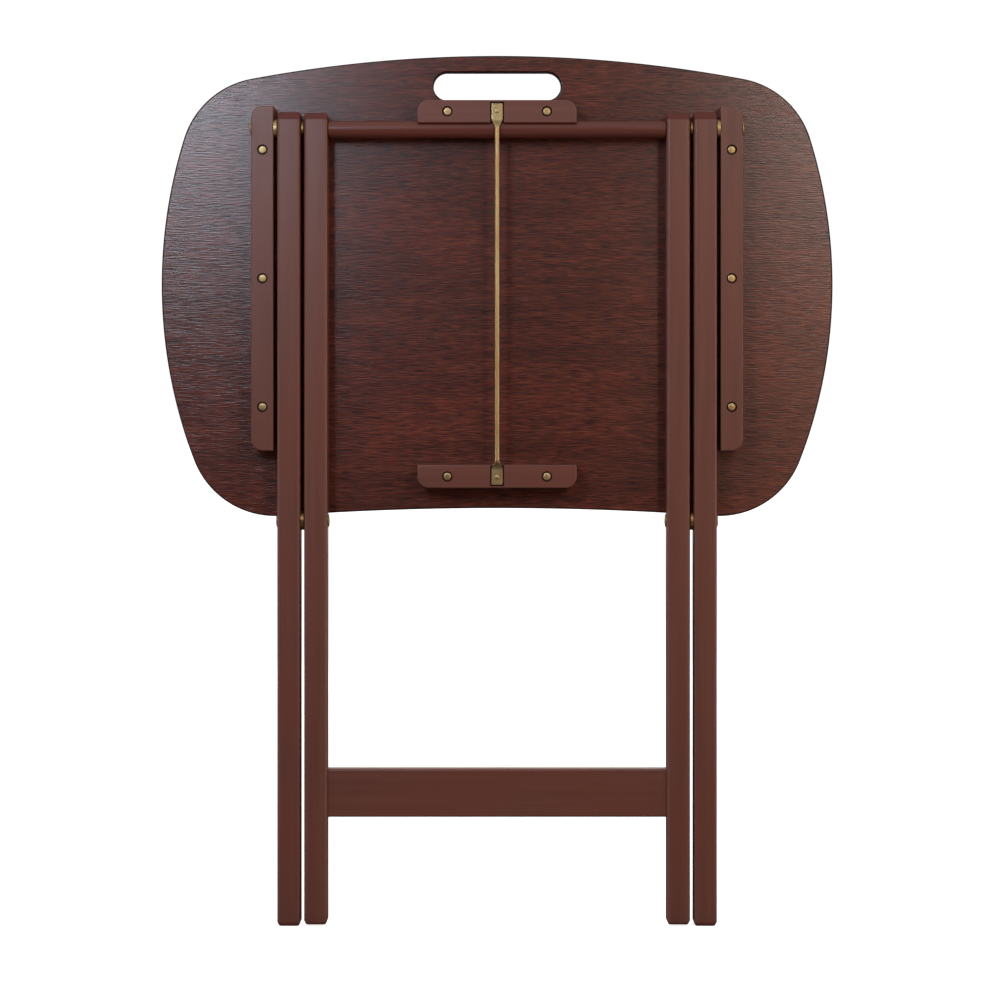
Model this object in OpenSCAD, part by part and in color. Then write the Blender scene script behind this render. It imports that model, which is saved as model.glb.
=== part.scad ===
// Folding tray table, folded flat and standing upright on the ends of its legs.
// X runs across the tray, Z runs up along the legs, and the tray's underside faces -Y.
// The origin is on the floor, at the middle of the folded table's outline.

/* [Tray] */
// Width of the tray at its widest
tray_w = 580; // [570:1:590]
// Height of the tray on its centre line
tray_h = 391; // [388:1:394]
// Thickness of the tray board
board_t = 12; // [10:0.5:14]
// Radius of the arched upper edge
arch_r = 1150; // [1050:10:1300]
// Radius of the bowed sides
side_r = 424; // [415:1:440]
// Radius of the tray's four corners
corner_r = 75; // [70:1:80]
// Radius of the hollow lower edge
hollow_r = 2600; // [2300:50:3200]
// Drop from the top of the arch to the widest place
bow_drop = 198; // [190:1:206]
// Length of the handle slot
slot_w = 110; // [100:1:120]
// Height of the handle slot
slot_h = 24; // [20:0.5:25]
// Drop from the top of the arch to the middle of the slot
slot_drop = 26.5; // [25:0.5:27]

/* [Legs] */
// Length of an outer leg
leg_len = 696; // [690:1:702]
// Width of a leg, across the table
leg_w = 20; // [18:0.5:21]
// Depth of a leg, away from the tray
leg_d = 19; // [17:0.5:20]
// Half the clear width between the inner legs
half_clear = 145; // [140:1:150]
// Gap between the inner and the outer leg
leg_gap = 3; // [2.8:0.1:4]
// Rounding of a leg's long edges
leg_edge_r = 2; // [1:0.25:3]
// Rounding of a leg's top end, front and back
leg_top_r = 6.5; // [5:0.5:8]
// Height of the bevel round a leg's foot
foot_bevel_h = 3.2; // [2:0.2:5]
// Inset of the bevel round a leg's foot
foot_bevel_in = 1.4; // [0.8:0.2:2]
// How far an inner leg's top stands below an outer leg's top
inner_drop = 0.6; // [0:0.1:1]
// How far an inner leg's foot stands above an outer leg's foot
inner_lift = 1.2; // [0:0.1:2]

/* [Pivots] */
// Distance of the pivots from the tray's underside
pivot_d = 15; // [14.6:0.1:16]
// Distance from a top pivot to the leg's top end
top_reach = 14; // [13:0.1:14]
// Height of the tray's top above the top pivots
tray_rise = 65; // [64:0.5:66]
// Height of the middle pivots above the floor
mid_pivot_z = 346; // [340:1:348]
// Radius of the pivot bolts
bolt_r = 3; // [2.5:0.25:3.5]
// Radius of the top pivots' domed heads and caps
top_head_r = 6.2; // [5:0.1:7]
// Radius of the middle pivots' domed heads
mid_head_r = 5.6; // [5:0.1:6.5]
// Height of a domed head
head_h = 1.5; // [1:0.1:1.6]
// Radius of the spacers and washers
washer_r = 8; // [7:0.25:8.5]

/* [Cleats] */
// Gap between an outer leg and its side cleat
cleat_gap = 3.3; // [3:0.1:4]
// Width of a side cleat
side_cleat_w = 19; // [19:0.5:21]
// Length of a side cleat
side_cleat_l = 295; // [285:1:300]
// Thickness of a side cleat
side_cleat_t = 21; // [20:0.5:23]
// Distance from the top pivots down to the middle of the side cleats
side_cleat_drop = 128.5; // [126:0.5:131]
// Spacing of the screws in a side cleat
side_screw_pitch = 110; // [100:1:115]
// Length of a centre cleat
centre_cleat_l = 136; // [130:1:142]
// Height of a centre cleat
centre_cleat_h = 19.5; // [19:0.5:20]
// Thickness of a centre cleat
centre_cleat_t = 24; // [23.5:0.1:24.5]
// Distance from the top pivots up to the middle of the upper centre cleat
upper_cleat_rise = 14; // [13.5:0.1:14.4]
// Distance from the top pivots down to the middle of the lower centre cleat
lower_cleat_drop = 298; // [290:1:304]
// Distance of a centre cleat's screws from the middle
centre_screw_x = 42.5; // [38:0.5:46]
// Rounding of the cleats' outer corners
cleat_corner_r = 9.5; // [7:0.5:9.5]

/* [Crossbar, stretcher and guide rod] */
// Radius of the round crossbar
bar_r = 7.5; // [7:0.1:7.8]
// Height of the lower stretcher
stretcher_h = 41.5; // [38:0.5:45]
// Thickness of the lower stretcher
stretcher_t = 12; // [11:0.5:14]
// Height of the lower stretcher's under edge above the floor
stretcher_z = 92.5; // [85:0.5:100]
// Radius of the guide rod
rod_r = 2; // [1.75:0.05:2.1]
// Distance of the guide rod's middle from the tray's underside
rod_d = 25.3; // [25.2:0.1:26]
// Width of the rod's flattened ends
paddle_w = 9.6; // [8:0.2:11]
// Length of the rod's flattened ends
paddle_l = 13; // [12:0.5:14]
// Thickness of the rod's flattened ends
paddle_t = 1.6; // [1.2:0.1:1.8]
// Length of the necks between flattened end and round rod
neck_l = 8.5; // [8:0.1:9]

/* [Screws and pins] */
// Radius of a screw's shank
screw_r = 1.75; // [1.5:0.05:2]
// Radius of a screw's head
screw_head_r = 3.3; // [3:0.1:3.6]
// Radius of the counterbores that the screw heads sit in
counterbore_r = 4.5; // [4:0.1:5]
// Depth of the counterbores
counterbore_deep = 2.2; // [2:0.1:3]
// Radius of the stretcher's joinery dowels
pin_r = 3; // [2.5:0.25:3.5]

/* [Hidden] */
$fn = 64;
SIDES = [["left", -1], ["right", 1]];
BOTH = [-1, 1];
EPS = 0.01;
run_fit = 0.05; // radial clearance of a shaft that turns in wood
part_gap = 0.4; // clearance between faces that move past each other
hole_fit = 0.05; // radial clearance of a fixed fastener in its hole

// depth runs from the tray's underside, away from the tray
rod_front = rod_d + rod_r;
y_under = (rod_front - board_t) / 2;
y_leg = y_under - pivot_d;

pivot_z = leg_len - top_reach;
bar_z = pivot_z - inner_drop;
tray_top = pivot_z + tray_rise;
tray_low = tray_top - tray_h;
bow_z = tray_top - bow_drop;
slot_z = tray_top - slot_drop;

inner_x = half_clear + leg_w / 2;
gap_x = half_clear + leg_w;
outer_x = gap_x + leg_gap + leg_w / 2;
outer_face_x = gap_x + leg_gap + leg_w;
cleat_x = outer_face_x + cleat_gap;
cleat_face_x = cleat_x + side_cleat_w;

side_cleat_z = pivot_z - side_cleat_drop;
upper_cleat_z = pivot_z + upper_cleat_rise;
lower_cleat_z = pivot_z - lower_cleat_drop;

screw_bite = 8; // how deep a screw's point goes into the board
screw_head_t = 1.6;
cross_l = 3.4; // the driver's cross in a screw's head
cross_w = 0.7;
cross_deep = 0.7;
head_rim = 0.5; // straight rim under a dome
cap_t = 1.9;
tenon_r = 5; // the crossbar's round tenons
tenon_l = 13;
socket_spare = 1; // empty length at the bottom of a socket
cove_gap = 0.6; // room round the crossbar in the upper cleat's cove
groove_w = 11.8; // the grooves that the rod's ends lie in
groove_deep = 3.2;
groove_end = 1.6; // wood left between groove and cleat edge
paddle_reach = 7.2; // from the cleat's middle to the rod's end
paddle_d = centre_cleat_t - groove_deep + paddle_t / 2;
nail_r = 0.9;
nail_head_r = 2.2;
nail_head_h = 0.6;
nail_bite = 11; // how deep a nail goes below the groove
stretcher_edge_r = 2;
pin_half = 13; // half a joinery dowel's length
pin_spread = 10; // from the stretcher's middle to a dowel

// ---- outline functions ----

function direction(v) = atan2(v[1], v[0]);
function arc(c, r, from, to, n) = [
    for (i = [1:n]) c + r * [cos(from + (to - from) * i / n), sin(from + (to - from) * i / n)]
];
// the right-hand meeting point of two circles, seen from c0 towards c1
function meet(c0, r0, c1, r1) =
    let (
        span = norm(c1 - c0),
        u = (c1 - c0) / span,
        along = (r0 * r0 - r1 * r1 + span * span) / (2 * span),
        off = sqrt(r0 * r0 - along * along)
    )
    c0 + along * u + off * [u[1], -u[0]];

// the tray's right half: arch, corner, bowed side, corner and hollow, each tangent to the next
arch_c = [0, tray_top - arch_r];
side_c = [tray_w / 2 - side_r, bow_z];
hollow_c = [0, tray_low - hollow_r];
upper_c = meet(arch_c, arch_r - corner_r, side_c, side_r - corner_r);
lower_c = meet(hollow_c, hollow_r + corner_r, side_c, side_r - corner_r);
arch_end = direction(upper_c - arch_c);
side_start = direction(upper_c - side_c);
side_end = direction(lower_c - side_c);
corner_end = direction(hollow_c - lower_c);
half_outline = concat(
    [[0, tray_top]],
    arc(arch_c, arch_r, 90, arch_end, 8),
    arc(upper_c, corner_r, arch_end, side_start, 14),
    arc(side_c, side_r, side_start, 0, 6),
    arc(side_c, side_r, 0, side_end, 6),
    arc(lower_c, corner_r, side_end, corner_end, 16),
    arc(hollow_c, hollow_r, direction(lower_c - hollow_c), 90, 5)
);
half_n = len(half_outline);

// ---- building blocks ----

// draws on the right, and mirrors to the left for side -1
module on_side(side) {
    if (side < 0) mirror([1, 0, 0]) children();
    else children();
}

// a flat shape in X and Z, between two depths
module slab(d0, d1) {
    translate([0, y_under - d0, 0]) rotate([90, 0, 0]) linear_extrude(d1 - d0) children();
}

// a round bar away from the tray
module depth_rod(x, z, d0, d1, r) {
    translate([x, y_under - d0, z]) rotate([90, 0, 0]) cylinder(h = d1 - d0, r = r);
}

// a round bar across the table, on a line at the pivots' depth
module cross_rod(z, x0, x1, r) {
    translate([x0, y_leg, z]) rotate([0, 90, 0]) cylinder(h = x1 - x0, r = r);
}

module rounded_rect(w, h, r) {
    square([w - 2 * r, h], center = true);
    square([w, h - 2 * r], center = true);
    for (i = BOTH, j = BOTH) translate([i * (w / 2 - r), j * (h / 2 - r)]) circle(r);
}

// a rectangle whose two corners towards +X are rounded
module half_rounded(x0, x1, z0, z1, r) {
    translate([x0, z0]) square([x1 - x0 - r, z1 - z0]);
    translate([x0, z0 + r]) square([x1 - x0, z1 - z0 - 2 * r]);
    for (z = [z0 + r, z1 - r]) translate([x1 - r, z]) circle(r);
}

// a low dome on a straight rim, along +Z from the origin
module domed_head(r, h) {
    cap = h - head_rim;
    ball = (r * r + cap * cap) / (2 * cap);
    cylinder(h = head_rim, r = r);
    intersection() {
        translate([0, 0, h - ball]) sphere(ball);
        translate([-r - 1, -r - 1, head_rim - EPS]) cube([2 * r + 2, 2 * r + 2, h]);
    }
}

// a domed head that points across the table, outwards for dir 1 and inwards for dir -1
module cross_head(z, x, dir, r) {
    translate([x, y_leg, z]) rotate([0, 90 * dir, 0]) domed_head(r, head_h);
}

// a hole for a screw through a cleat of thickness t, with its counterbore
module screw_hole(x, z, t) {
    depth_rod(x, z, -EPS, t + EPS, screw_r + hole_fit);
    depth_rod(x, z, t - counterbore_deep, t + EPS, counterbore_r);
}

// a screw through a cleat of thickness t
module screw(x, z, t) {
    seat = t - counterbore_deep;
    top = seat + screw_head_t;
    color("darkkhaki") difference() {
        union() {
            depth_rod(x, z, -screw_bite, seat + EPS, screw_r);
            depth_rod(x, z, seat, top, screw_head_r);
        }
        translate([x, y_under - top, z]) {
            cube([cross_l, 2 * cross_deep, cross_w], center = true);
            cube([cross_w, 2 * cross_deep, cross_l], center = true);
        }
    }
}

function side_screw_z(i) = side_cleat_z + (2 - i) * side_screw_pitch;

// ---- tray ----

module tray_board() {
    color("saddlebrown") difference() {
        slab(-board_t, 0) polygon(concat(
            half_outline,
            [for (i = [half_n - 2:-1:1]) [-half_outline[i][0], half_outline[i][1]]]
        ));
        slab(-board_t - 1, 1) {
            translate([0, slot_z]) square([slot_w - slot_h, slot_h], center = true);
            for (s = BOTH) translate([s * (slot_w - slot_h) / 2, slot_z]) circle(slot_h / 2);
        }
        for (s = BOTH) {
            x = s * (cleat_x + side_cleat_w / 2);
            for (i = [1:3]) board_hole(x, side_screw_z(i));
            for (z = [upper_cleat_z, lower_cleat_z]) board_hole(s * centre_screw_x, z);
        }
    }
}

module board_hole(x, z) {
    depth_rod(x, z, -screw_bite - hole_fit, EPS, screw_r + hole_fit);
}

module side_cleat() {
    x = cleat_x + side_cleat_w / 2;
    z0 = side_cleat_z - side_cleat_l / 2;
    color("sienna") difference() {
        slab(0, side_cleat_t)
            half_rounded(cleat_x, cleat_face_x, z0, z0 + side_cleat_l, cleat_corner_r);
        for (i = [1:3]) screw_hole(x, side_screw_z(i), side_cleat_t);
        cross_rod(pivot_z, cleat_x - 1, cleat_face_x + 1, bolt_r + hole_fit);
    }
}

// dir is 1 where the rounded corners and the groove's closed end are upwards
module centre_cleat(z, dir) {
    inner = z - dir * centre_cleat_h / 2;
    outer = z + dir * centre_cleat_h / 2;
    groove_to = outer - dir * groove_end;
    difference() {
        slab(0, centre_cleat_t)
            translate([0, z]) rotate([0, 0, 90 * dir])
                half_rounded(-centre_cleat_h / 2, centre_cleat_h / 2,
                    -centre_cleat_l / 2, centre_cleat_l / 2, cleat_corner_r);
        slab(centre_cleat_t - groove_deep, centre_cleat_t + 1)
            translate([-groove_w / 2, min(inner - dir, groove_to)])
                square([groove_w, abs(groove_to - inner) + 1]);
        for (s = BOTH) screw_hole(s * centre_screw_x, z, centre_cleat_t);
        depth_rod(0, z + dir * nail_offset, centre_cleat_t - groove_deep - nail_bite - hole_fit,
            centre_cleat_t, nail_r + hole_fit);
    }
}

// the nail stands in the middle of the flattened end
nail_offset = paddle_reach - paddle_l / 2;

module upper_centre_cleat() {
    color("sienna") difference() {
        centre_cleat(upper_cleat_z, 1);
        cross_rod(bar_z, -centre_cleat_l, centre_cleat_l, bar_r + cove_gap);
    }
}

module lower_centre_cleat() {
    color("sienna") centre_cleat(lower_cleat_z, -1);
}

// ---- guide rod ----

// one flattened end and its neck; z is the cleat's middle, and dir 1 is the upper end
module rod_end(z, dir) {
    tip = z + dir * paddle_reach;
    root = tip - dir * paddle_l;
    neck = root - dir * neck_l;
    difference() {
        translate([-paddle_w / 2, y_under - paddle_d - paddle_t / 2, min(tip, root)])
            cube([paddle_w, paddle_t, paddle_l]);
        depth_rod(0, z + dir * nail_offset, paddle_d - paddle_t, paddle_d + paddle_t,
            nail_r + hole_fit);
    }
    hull() {
        translate([0, y_under - paddle_d, root])
            cube([paddle_w, paddle_t, 2 * EPS], center = true);
        translate([0, y_under - rod_d, neck])
            cylinder(h = 2 * EPS, r = rod_r, center = true, $fn = 32);
    }
}

module guide_rod() {
    from = lower_cleat_z - paddle_reach + paddle_l + neck_l;
    to = upper_cleat_z + paddle_reach - paddle_l - neck_l;
    color("darkkhaki") {
        translate([0, y_under - rod_d, from]) cylinder(h = to - from, r = rod_r);
        rod_end(upper_cleat_z, 1);
        rod_end(lower_cleat_z, -1);
    }
}

module guide_rod_nail(z) {
    face = paddle_d + paddle_t / 2;
    color("darkkhaki") {
        depth_rod(0, z, centre_cleat_t - groove_deep - nail_bite, face + EPS, nail_r);
        translate([0, y_under - face, z]) rotate([90, 0, 0]) intersection() {
            ball = (nail_head_r * nail_head_r + nail_head_h * nail_head_h) / (2 * nail_head_h);
            translate([0, 0, nail_head_h - ball]) sphere(ball);
            translate([-nail_head_r - 1, -nail_head_r - 1, 0])
                cube([2 * nail_head_r + 2, 2 * nail_head_r + 2, 2]);
        }
    }
}

// ---- top pivots, fixed to the side cleats ----

cap_x = gap_x + leg_gap - part_gap - cap_t;

module top_pivot_bolt() {
    color("darkkhaki") {
        cross_rod(pivot_z, cap_x + part_gap, cleat_face_x + EPS, bolt_r);
        cross_head(pivot_z, cleat_face_x, 1, top_head_r);
    }
}

module top_pivot_spacer() {
    color("khaki") difference() {
        cross_rod(pivot_z, outer_face_x + part_gap, cleat_x, washer_r);
        cross_rod(pivot_z, outer_face_x, cleat_x + 1, bolt_r + hole_fit);
    }
}

module top_pivot_cap() {
    color("darkkhaki") difference() {
        cross_rod(pivot_z, cap_x, cap_x + cap_t, top_head_r);
        cross_rod(pivot_z, cap_x - 1, cap_x + cap_t + 1, bolt_r + hole_fit);
    }
}

// ---- legs ----

// a leg about the line x, from z0 to z1, with a rounded top and a bevelled foot
module leg_blank(x, z0, z1) {
    translate([x, y_leg, z0]) intersection() {
        linear_extrude(z1 - z0) rounded_rect(leg_w, leg_d, leg_edge_r);
        translate([-leg_w, 0, 0]) rotate([90, 0, 90]) linear_extrude(2 * leg_w)
            leg_profile(leg_d, z1 - z0, leg_top_r);
        translate([0, leg_d, 0]) rotate([90, 0, 0]) linear_extrude(2 * leg_d)
            leg_profile(leg_w, z1 - z0, leg_edge_r);
    }
}

module leg_profile(w, h, top_r) {
    polygon([
        [-w / 2 + foot_bevel_in, 0], [w / 2 - foot_bevel_in, 0],
        [w / 2, foot_bevel_h], [w / 2, h - top_r],
        [-w / 2, h - top_r], [-w / 2, foot_bevel_h]
    ]);
    translate([-w / 2 + top_r, h - top_r - 1]) square([w - 2 * top_r, top_r + 1]);
    for (s = BOTH) translate([s * (w / 2 - top_r), h - top_r]) circle(top_r);
}

module outer_leg() {
    color("sienna") difference() {
        leg_blank(outer_x, 0, leg_len);
        cross_rod(pivot_z, gap_x, cleat_x, bolt_r + run_fit);
        cross_rod(mid_pivot_z, gap_x, cleat_x, bolt_r + hole_fit);
    }
}

module inner_leg() {
    stretcher_mid = stretcher_z + stretcher_h / 2;
    color("sienna") difference() {
        leg_blank(inner_x, inner_lift, leg_len - inner_drop);
        cross_rod(bar_z, half_clear - 1, half_clear + part_gap + tenon_l + socket_spare,
            tenon_r + run_fit);
        cross_rod(mid_pivot_z, half_clear - 1, gap_x + 1, bolt_r + hole_fit);
        for (s = BOTH) cross_rod(stretcher_mid + s * pin_spread, half_clear - 1,
            half_clear + pin_half, pin_r + hole_fit);
    }
}

// ---- middle pivots, parted at the gap between the legs ----

module middle_pivot_bolt() {
    color("darkkhaki") {
        cross_rod(mid_pivot_z, gap_x + part_gap, outer_face_x + EPS, bolt_r);
        cross_head(mid_pivot_z, outer_face_x, 1, mid_head_r);
    }
}

module middle_pivot_washer() {
    color("khaki") difference() {
        cross_rod(mid_pivot_z, gap_x + part_gap, gap_x + leg_gap, washer_r);
        cross_rod(mid_pivot_z, gap_x, outer_face_x, bolt_r + hole_fit);
    }
}

module middle_pivot_nut() {
    color("darkkhaki") {
        cross_rod(mid_pivot_z, half_clear - EPS, gap_x, bolt_r);
        cross_head(mid_pivot_z, half_clear, -1, mid_head_r);
    }
}

// ---- crossbar and stretcher ----

module top_crossbar() {
    shoulder = half_clear - part_gap;
    color("brown") {
        cross_rod(bar_z, -shoulder, shoulder, bar_r);
        cross_rod(bar_z, -half_clear - tenon_l, half_clear + tenon_l, tenon_r);
    }
}

module lower_stretcher() {
    mid = stretcher_z + stretcher_h / 2;
    color("sienna") difference() {
        translate([-half_clear, y_leg, mid]) rotate([90, 0, 90])
            linear_extrude(2 * half_clear)
                rounded_rect(stretcher_t, stretcher_h, stretcher_edge_r);
        for (s = BOTH, side = BOTH) on_side(side)
            cross_rod(mid + s * pin_spread, half_clear - pin_half, half_clear + 1,
                pin_r + hole_fit);
    }
}

// i is 1 for the upper dowel and 2 for the lower one
module stretcher_dowel(i) {
    z = stretcher_z + stretcher_h / 2 + (3 - 2 * i) * pin_spread;
    color("burlywood")
        cross_rod(z, half_clear - pin_half + EPS, half_clear + pin_half - EPS, pin_r);
}

// ---- nodes ----

tray_board();
upper_centre_cleat();
lower_centre_cleat();
guide_rod();
guide_rod_nail(upper_cleat_z + nail_offset);  // guide_rod_nail_upper
guide_rod_nail(lower_cleat_z - nail_offset);  // guide_rod_nail_lower
top_crossbar();
lower_stretcher();
for (s = SIDES) on_side(s[1]) {
    side_cleat();
    for (i = [1:3])
        screw(cleat_x + side_cleat_w / 2, side_screw_z(i), side_cleat_t);
    screw(centre_screw_x, upper_cleat_z, centre_cleat_t);
    screw(centre_screw_x, lower_cleat_z, centre_cleat_t);
    top_pivot_bolt();
    top_pivot_spacer();
    top_pivot_cap();
    outer_leg();
    middle_pivot_bolt();
    middle_pivot_washer();
    inner_leg();
    middle_pivot_nut();
    for (i = [1:2])
        stretcher_dowel(i);
}
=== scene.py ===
"""Looks of the folding tray table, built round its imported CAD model. Lengths are metres."""
import math

import bmesh
import bpy
from mathutils import Matrix, Vector


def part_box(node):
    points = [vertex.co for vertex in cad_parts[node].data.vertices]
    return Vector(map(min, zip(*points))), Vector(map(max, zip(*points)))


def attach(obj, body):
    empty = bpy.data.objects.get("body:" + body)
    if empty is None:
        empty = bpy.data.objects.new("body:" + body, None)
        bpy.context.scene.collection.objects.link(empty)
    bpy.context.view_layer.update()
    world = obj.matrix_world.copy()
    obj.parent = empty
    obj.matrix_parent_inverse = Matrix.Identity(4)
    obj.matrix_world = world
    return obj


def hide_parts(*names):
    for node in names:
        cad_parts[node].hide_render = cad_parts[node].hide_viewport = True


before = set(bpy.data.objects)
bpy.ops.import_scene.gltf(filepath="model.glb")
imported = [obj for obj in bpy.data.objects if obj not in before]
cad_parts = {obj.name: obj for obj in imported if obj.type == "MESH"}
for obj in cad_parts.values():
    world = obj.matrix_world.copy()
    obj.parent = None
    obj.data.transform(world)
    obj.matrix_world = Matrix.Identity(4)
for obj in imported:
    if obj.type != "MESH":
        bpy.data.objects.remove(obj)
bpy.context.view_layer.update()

MM = 0.001
SIDES = {"left": -1, "right": 1}
SHARP = math.radians(38)  # edges that turn more than this stay crisp


# ---- places and sizes that come from the CAD nodes ----

def size_of(node):
    low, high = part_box(node)
    return high - low


def middle_of(node):
    low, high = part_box(node)
    return (low + high) / 2


board_low, board_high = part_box("tray_board")
UNDER = board_low.y  # the tray's underside, which faces -Y
BAR_LINE = middle_of("top_crossbar")
PIVOT_LINE = middle_of("top_pivot_spacer_right")
MID_LINE = middle_of("middle_pivot_washer_right")

# sizes that the nodes' boxes don't give
BOLT_R = 3.0 * MM
SHANK_R = 1.75 * MM  # of the screws
SCREW_BITE = 8 * MM  # how deep the screws go into the board
COUNTERBORE_R, COUNTERBORE_DEEP = 4.5 * MM, 2.2 * MM
CLEAT_CORNER_R = 9.5 * MM
CLEAT_FRONT_R, CLEAT_BACK_R = 1.0 * MM, 0.2 * MM  # how far their rims are eased
NAIL_R = 0.9 * MM
DOWEL_R = 3.0 * MM
DOWEL_BITE = 13 * MM  # how deep the dowels' holes are, in the legs and in the stretcher
TENON_R, TENON_L = 5 * MM, 13.4 * MM  # of the crossbar, from its shoulders out
HOLE_ROOM = 0.05 * MM  # how much larger the radius of every hole is than of what is in it
BOLT_HOLE_R = BOLT_R + HOLE_ROOM


# ---- mesh helpers ----

def new_object(name, bm):
    """Makes an object of a bmesh, with doubled points joined and all faces turned outwards."""
    bmesh.ops.remove_doubles(bm, verts=bm.verts, dist=1e-6)
    bmesh.ops.recalc_face_normals(bm, faces=bm.faces)
    mesh = bpy.data.meshes.new(name)
    bm.to_mesh(mesh)
    bm.free()
    piece = bpy.data.objects.new(name, mesh)
    bpy.context.scene.collection.objects.link(piece)
    return piece


def bake_modifiers(piece):
    """Leaves the piece's mesh as its modifiers make it, and takes them off."""
    made = bpy.data.meshes.new_from_object(piece.evaluated_get(bpy.context.evaluated_depsgraph_get()))
    piece.modifiers.clear()
    made.name = piece.name
    piece.data = made
    return piece


def smooth(piece):
    """Smooth shading between crisp edges, led by the larger faces."""
    bm = bmesh.new()
    bm.from_mesh(piece.data)
    for face in bm.faces:
        face.smooth = True
    for edge in bm.edges:
        edge.smooth = len(edge.link_faces) == 2 and edge.calc_face_angle() < SHARP
    bm.to_mesh(piece.data)
    bm.free()
    weighted = piece.modifiers.new("weighted", "WEIGHTED_NORMAL")
    weighted.keep_sharp = True
    weighted.weight = 90
    return bake_modifiers(piece)


def cut(piece, cutters, material=None, inside=None):
    """Takes the cutters' shapes out of the piece. The inside material, if given, goes on the holes' walls,
    where it is painted shade.
    """
    if material:
        piece.data.materials.append(material)
    for cutter in cutters:
        boolean = piece.modifiers.new("cut", "BOOLEAN")
        boolean.operation = "DIFFERENCE"
        boolean.solver = "EXACT"
        boolean.object = cutter
        if inside:
            cutter.data.materials.append(inside)
            boolean.material_mode = "TRANSFER"
    bpy.context.view_layer.update()
    bake_modifiers(piece)
    for cutter in cutters:
        bpy.data.objects.remove(cutter)
    return piece


def add_ring(bm, points):
    return [bm.verts.new(p) for p in points]


def join_rings(bm, a, b):
    for i in range(len(a)):
        j = (i + 1) % len(a)
        bm.faces.new((a[i], a[j], b[j], b[i]))


def loft(name, rings):
    """A tube of quads through the rings, closed with a flat face at each end."""
    bm = bmesh.new()
    made = [add_ring(bm, ring) for ring in rings]
    for a, b in zip(made, made[1:]):
        join_rings(bm, a, b)
    bm.faces.new(made[0])
    bm.faces.new(list(reversed(made[-1])))
    return new_object(name, bm)


def frame_on(axis):
    """Two unit vectors square to an axis, right-handed with it."""
    axis = Vector(axis).normalized()
    side = Vector((0, 0, 1)) if abs(axis.z) < 0.9 else Vector((1, 0, 0))
    u = axis.cross(side).normalized()
    return u, axis.cross(u)


def turned(name, origin, axis, profile, steps=40):
    """A turned piece: profile gives (distance along the axis, radius) from one end to the other."""
    origin, axis = Vector(origin), Vector(axis).normalized()
    u, v = frame_on(axis)
    bm = bmesh.new()
    rings = []
    for along, radius in profile:
        if radius <= 0:
            rings.append(bm.verts.new(origin + axis * along))
            continue
        rings.append(add_ring(bm, [
            origin + axis * along + (u * math.cos(t) + v * math.sin(t)) * radius
            for t in (2 * math.pi * i / steps for i in range(steps))]))
    for a, b in zip(rings, rings[1:]):
        if isinstance(a, list) and isinstance(b, list):
            join_rings(bm, a, b)
        elif isinstance(a, list) or isinstance(b, list):
            ring, tip = (a, b) if isinstance(a, list) else (b, a)
            for i in range(steps):
                bm.faces.new((ring[i], ring[(i + 1) % steps], tip))
    return new_object(name, bm)


def rod_cutter(origin, axis, length, radius, steps=32):
    return turned("cutter", origin, axis, [(0, 0), (0, radius), (length, radius), (length, 0)], steps)


def box_cutter(low, high):
    bm = bmesh.new()
    bmesh.ops.create_cube(bm, size=1)
    for vert in bm.verts:
        vert.co = Vector([low[i] + (vert.co[i] + 0.5) * (high[i] - low[i]) for i in range(3)])
    return new_object("cutter", bm)


def ease(radius, steps):
    """(inset, drop) pairs of a quarter round, from the face's edge down to the side."""
    return [(radius * (1 - math.sin(a)), radius * (1 - math.cos(a)))
            for a in (math.pi / 2 * i / steps for i in range(steps + 1))]


def inset_loop(loop, distance):
    """A closed 2-D loop, moved to its left by distance, with mitred corners."""
    moved = []
    count = len(loop)
    for i in range(count):
        before, here, after = loop[i - 1], loop[i], loop[(i + 1) % count]
        d0 = Vector((here[0] - before[0], here[1] - before[1])).normalized()
        d1 = Vector((after[0] - here[0], after[1] - here[1])).normalized()
        n0, n1 = Vector((-d0.y, d0.x)), Vector((-d1.y, d1.x))
        mitre = (n0 + n1) / (1 + n0.dot(n1))
        moved.append((here[0] + mitre.x * distance, here[1] + mitre.y * distance))
    return moved


def plate(name, loops, front, back, round_front, round_back, steps=5):
    """A board in X and Z between the depths y=front and y=back. The first loop is its outline,
    anticlockwise as the front is seen, and the others are openings, clockwise. Every rim is rounded."""
    bm = bmesh.new()
    fronts, backs = [], []
    for loop in loops:
        rings = []
        for inset, drop in ease(round_front, steps):
            rings.append((inset_loop(loop, inset), front + drop))
        for inset, drop in reversed(ease(round_back, steps)):
            rings.append((inset_loop(loop, inset), back - drop))
        made = [add_ring(bm, [(x, y, z) for x, z in points]) for points, y in rings]
        for a, b in zip(made, made[1:]):
            join_rings(bm, a, b)
        fronts.append(made[0])
        backs.append(made[-1])
    for group in (fronts, backs):
        edges = [bm.edges.get((ring[i], ring[i - 1])) for ring in group for i in range(len(ring))]
        bmesh.ops.triangle_fill(bm, use_beauty=True, use_dissolve=False, edges=edges)
    return new_object(name, bm)


# ---- outlines ----

def arc(centre, radius, start, end, count):
    """Points along an arc, without its first one. Angles are degrees."""
    return [(centre[0] + radius * math.cos(math.radians(start + (end - start) * i / count)),
             centre[1] + radius * math.sin(math.radians(start + (end - start) * i / count)))
            for i in range(1, count + 1)]


def bearing(a, b):
    return math.degrees(math.atan2(b[1] - a[1], b[0] - a[0]))


def meet(c0, r0, c1, r1):
    """The right-hand meeting point of two circles, seen from c0 towards c1."""
    span = math.dist(c0, c1)
    u = ((c1[0] - c0[0]) / span, (c1[1] - c0[1]) / span)
    along = (r0 * r0 - r1 * r1 + span * span) / (2 * span)
    off = math.sqrt(r0 * r0 - along * along)
    return (c0[0] + along * u[0] + off * u[1], c0[1] + along * u[1] - off * u[0])


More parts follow.
